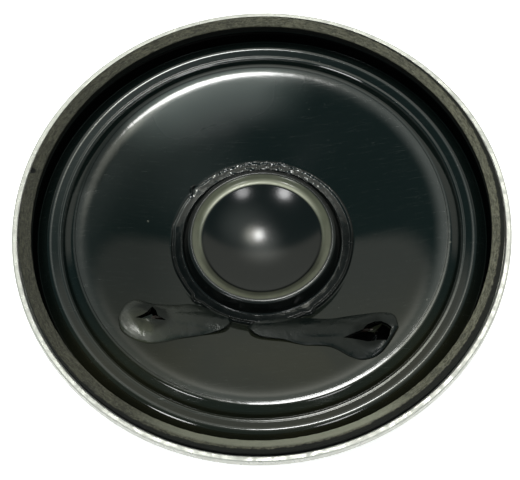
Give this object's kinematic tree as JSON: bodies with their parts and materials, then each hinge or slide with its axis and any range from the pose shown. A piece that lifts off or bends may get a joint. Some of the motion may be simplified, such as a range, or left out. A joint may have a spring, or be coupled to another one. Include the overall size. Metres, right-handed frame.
{
  "type": "miniature loudspeaker",
  "caption": "Round miniature loudspeaker with a glossy black film diaphragm, a steel basket with a fibre gasket, and a ring magnet behind.",
  "frame": {"origin": "centre of the back plate's rear face, at the base of the object's box", "axes": "+Z along the speaker's axis, towards its front; -Y towards the terminals"},
  "size_m": [0.05, 0.05, 0.0162],
  "materials": {
    "plated_steel": "zinc plated, satin",
    "basket_steel": "tin plated pressed sheet, slightly scuffed",
    "ferrite": "ground dark grey ferrite",
    "black_film": "glossy thermoformed film",
    "gasket_board": "fibre board, brown grey",
    "black_glue": "cured black contact glue, wrinkled",
    "amber_glue": "cured amber glue",
    "felt": "black felt",
    "laminate": "brown paper laminate",
    "tinned_brass": "tinned, bright",
    "solder": "bright solder",
    "tinsel": "braided copper tinsel",
    "former_paper": "brown coil paper",
    "copper_wire": "enamelled copper"
  },
  "bodies": {
    "frame": {"back_plate": "plated_steel", "pole_piece": "plated_steel", "magnet_ring": "ferrite", "magnet_glue_rear": "amber_glue", "magnet_glue_front": "amber_glue", "front_plate": "plated_steel", "basket": "basket_steel", "basket_rivets": "basket_steel", "vent_felt": "felt", "rim_glue": "amber_glue", "diaphragm_surround": "black_film", "gasket_ring": "gasket_board", "terminal_board": "laminate", "board_rivet": "basket_steel", "terminal_lug_left": "tinned_brass", "terminal_lug_right": "tinned_brass", "lug_rivets": "tinned_brass", "solder_left": "solder", "solder_right": "solder", "pigtail_left": "tinsel", "pigtail_right": "tinsel"},
    "cone": {"diaphragm_cone": "black_film", "centre_cap": "black_film", "voice_coil_former": "former_paper", "voice_coil_winding": "copper_wire", "neck_glue": "black_glue", "cap_glue_bead": "black_glue", "lead_wire_left": "copper_wire", "lead_wire_right": "copper_wire", "lead_glue_left": "black_glue", "lead_glue_right": "black_glue"}
  },
  "joints": [
    {"name": "cone_travel", "type": "slide", "parent": "frame", "child": "cone", "axis": [0, 0, 1], "range_m": [-0.0007, 0.0007], "stiffness_N_per_m": 2000, "deforming": ["diaphragm_surround", "pigtail_left", "pigtail_right"]}
  ]
}
